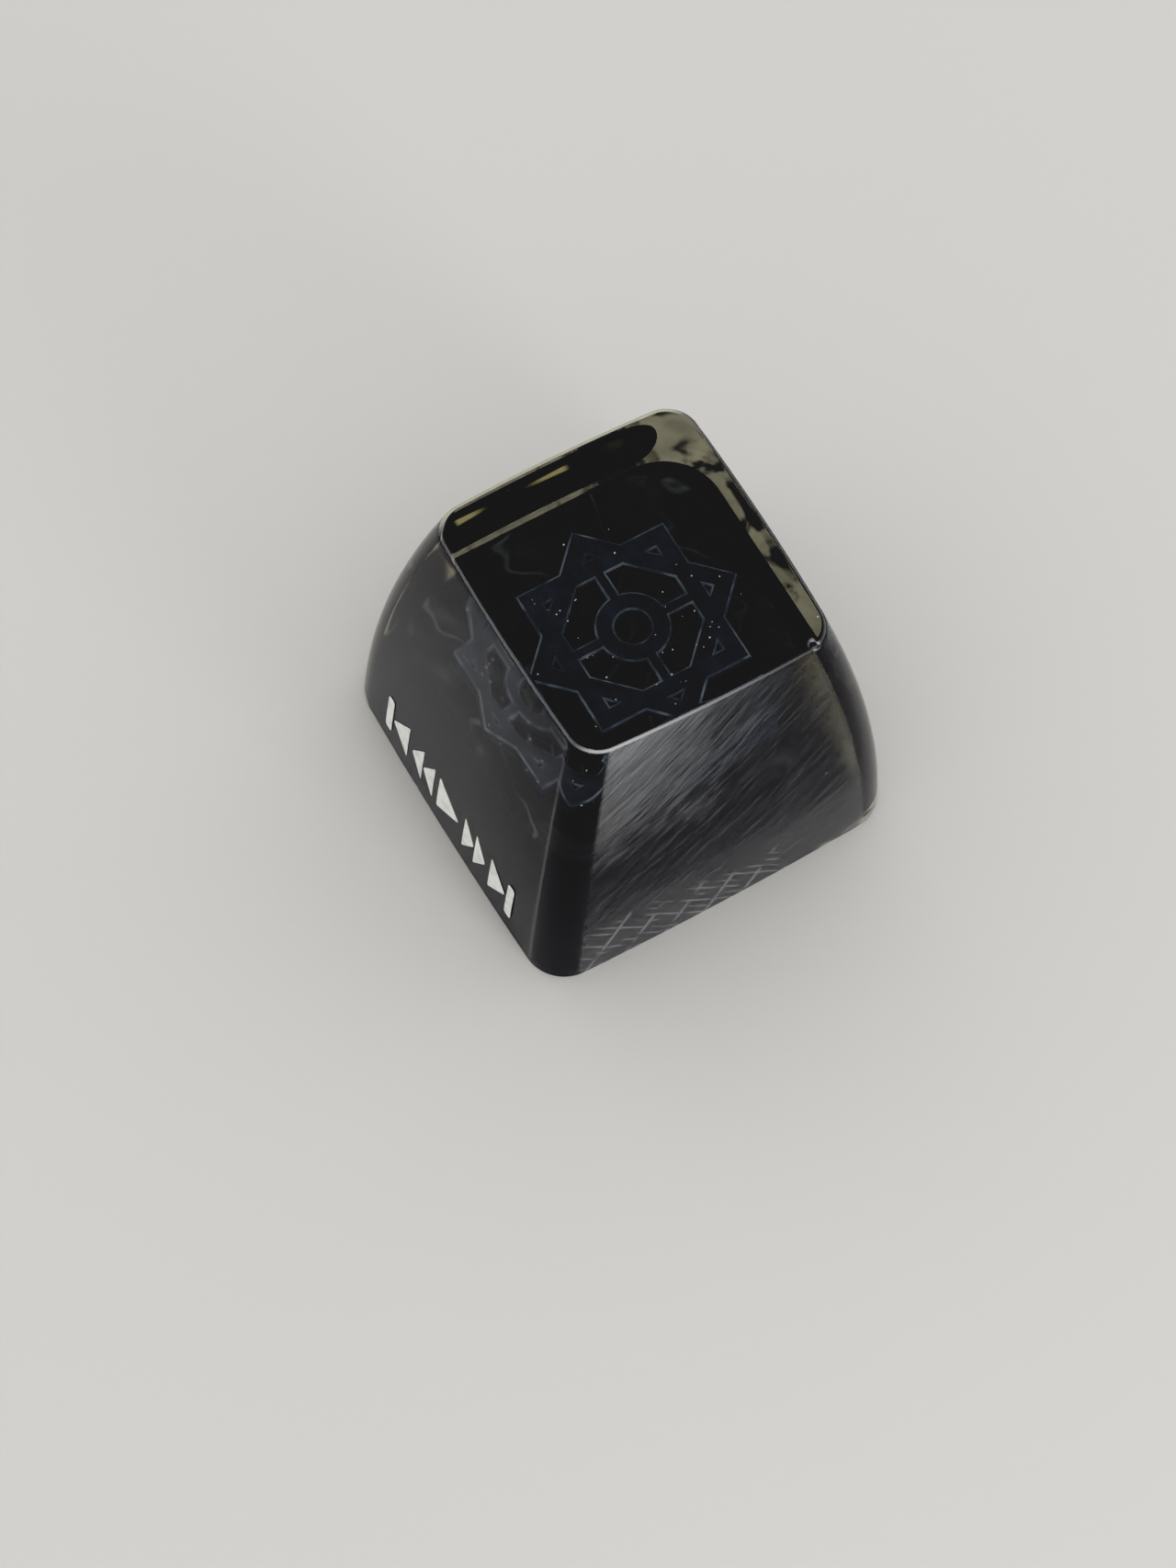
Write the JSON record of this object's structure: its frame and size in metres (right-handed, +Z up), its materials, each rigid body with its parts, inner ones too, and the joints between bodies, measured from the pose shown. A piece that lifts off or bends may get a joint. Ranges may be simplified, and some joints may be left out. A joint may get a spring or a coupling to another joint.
{
  "type": "artisan keycap",
  "caption": "Tall sculpted keyboard keycap of clear cast resin over a black core, with a raised star inside, a hollow underside and a cross socket for a switch stem.",
  "frame": {"origin": "middle of the skirt's rim, in the plane the cap stands on", "axes": "+Z up through the top, -Y towards the front face, +X to the right"},
  "size_m": [0.018, 0.018, 0.0164],
  "materials": {
    "clear_resin": "polished smoky clear cast resin",
    "black_resin": "black cast resin",
    "navy_resin": "dark navy raised star"
  },
  "bodies": {
    "root": {"clear_overcast": "clear_resin", "black_core": "black_resin", "star_relief": "navy_resin"}
  },
  "joints": []
}
